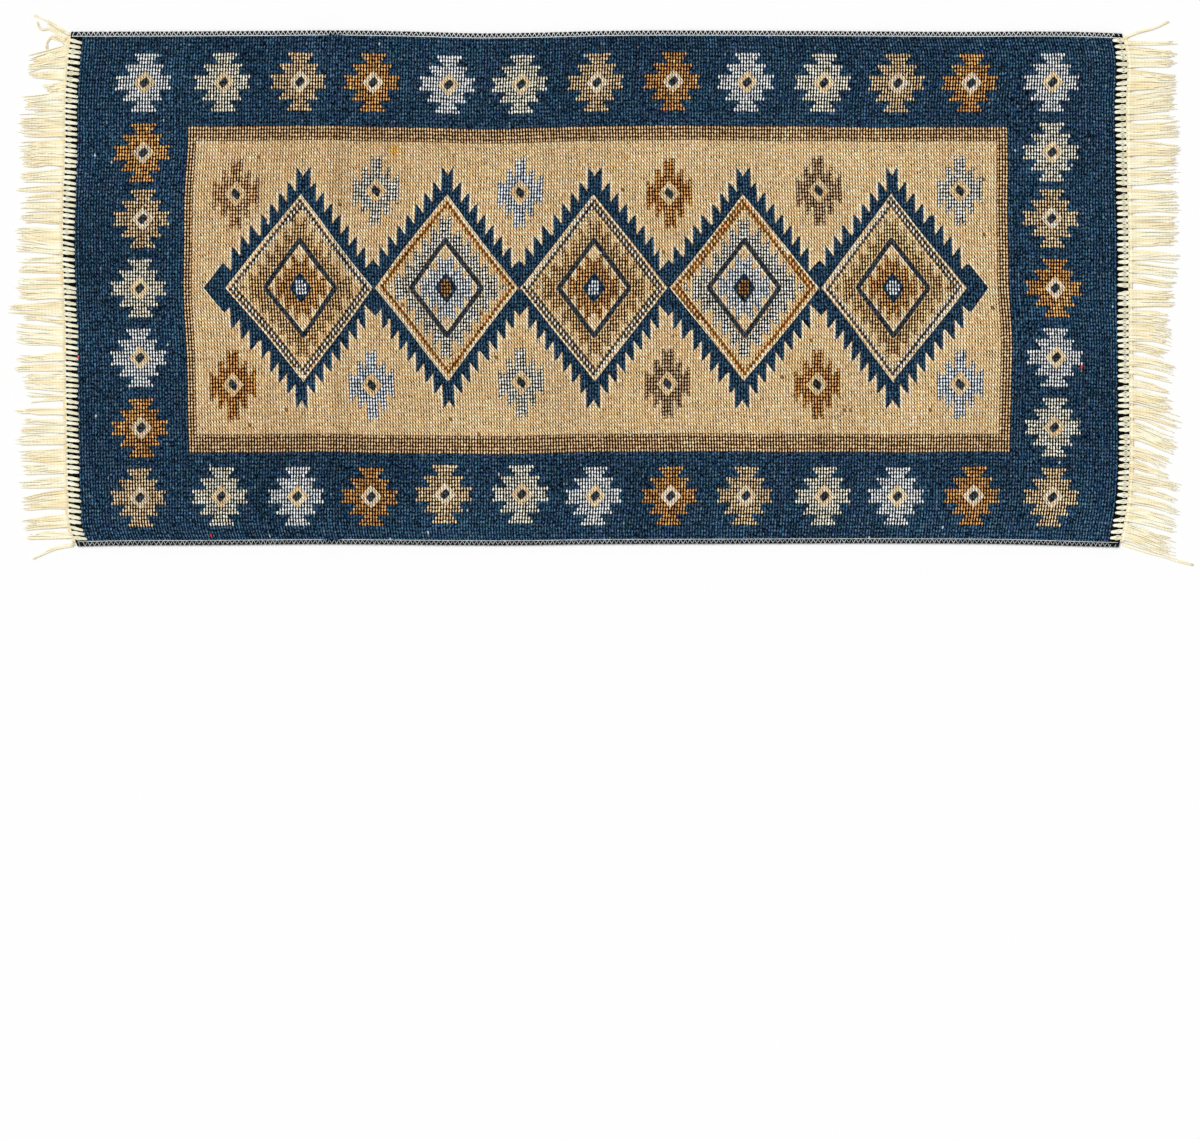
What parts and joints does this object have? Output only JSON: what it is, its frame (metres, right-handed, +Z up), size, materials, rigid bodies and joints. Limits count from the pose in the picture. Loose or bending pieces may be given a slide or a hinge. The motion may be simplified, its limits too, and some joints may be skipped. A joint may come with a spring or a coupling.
{
  "type": "flat-woven kilim rug",
  "caption": "Flat rectangular woven rug lying flat, with fringed ends bound by blanket stitches and overlocked long edges.",
  "frame": {"origin": "middle of the cloth's underside, on the surface that the rug lies on", "axes": "+X along the rug towards the right fringe, +Y across it, +Z up through its thickness"},
  "size_m": [1.3966, 0.6508, 0.0034],
  "materials": {
    "cloth": "matte double-faced cotton weave",
    "overlock": "fine grey and navy overlock thread",
    "fringe": "natural cream cotton cord, matte"
  },
  "bodies": {
    "root": {"rug_cloth": "cloth", "overlock_far": "overlock", "overlock_near": "overlock", "fringe_left": "fringe", "fringe_right": "fringe"}
  },
  "joints": []
}
